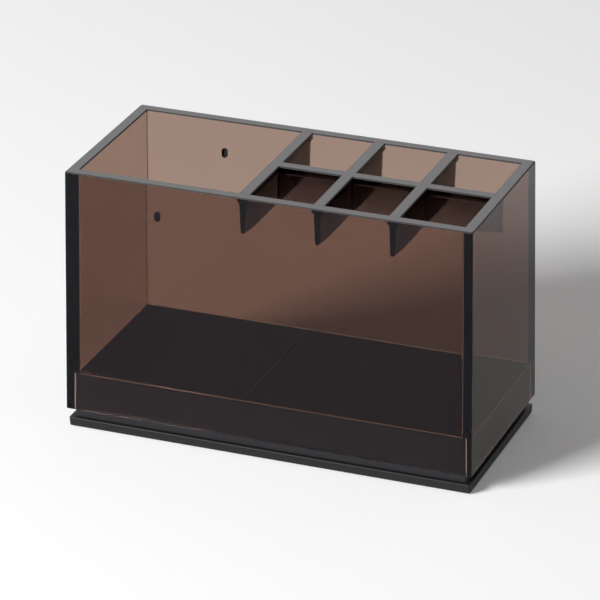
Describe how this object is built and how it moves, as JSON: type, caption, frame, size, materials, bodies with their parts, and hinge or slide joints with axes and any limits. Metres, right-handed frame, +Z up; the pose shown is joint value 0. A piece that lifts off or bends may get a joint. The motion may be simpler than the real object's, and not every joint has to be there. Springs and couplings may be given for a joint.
{
  "type": "brush holder",
  "caption": "Smoky clear brush holder: a walled sleeve with a divider lattice at its rim, lifting off a black plinth on a thin base plate",
  "frame": {"origin": "on the resting surface, under the middle of the holder", "axes": "+X along the long side with the large compartment at -X, +Y from front to back, +Z up"},
  "size_m": [0.163, 0.075, 0.1051],
  "materials": {
    "smoky_clear": "clear smoky brown plastic, polished, with satin rims",
    "black_plastic": "black moulded plastic, fine satin",
    "pad_rubber": "dark soft non-slip pads"
  },
  "bodies": {
    "root": {"base_plate": "black_plastic", "plinth": "black_plastic", "foot_pads": "pad_rubber"},
    "sleeve": {"front_wall": "smoky_clear", "back_wall": "smoky_clear", "left_wall": "smoky_clear", "right_wall": "smoky_clear", "cross_divider_1": "smoky_clear", "cross_divider_2": "smoky_clear", "cross_divider_3": "smoky_clear", "long_divider": "smoky_clear"}
  },
  "joints": [
    {"name": "sleeve_lift", "type": "slide", "parent": "root", "child": "sleeve", "axis": [0, 0, 1], "range_m": [0, 0.03]}
  ]
}
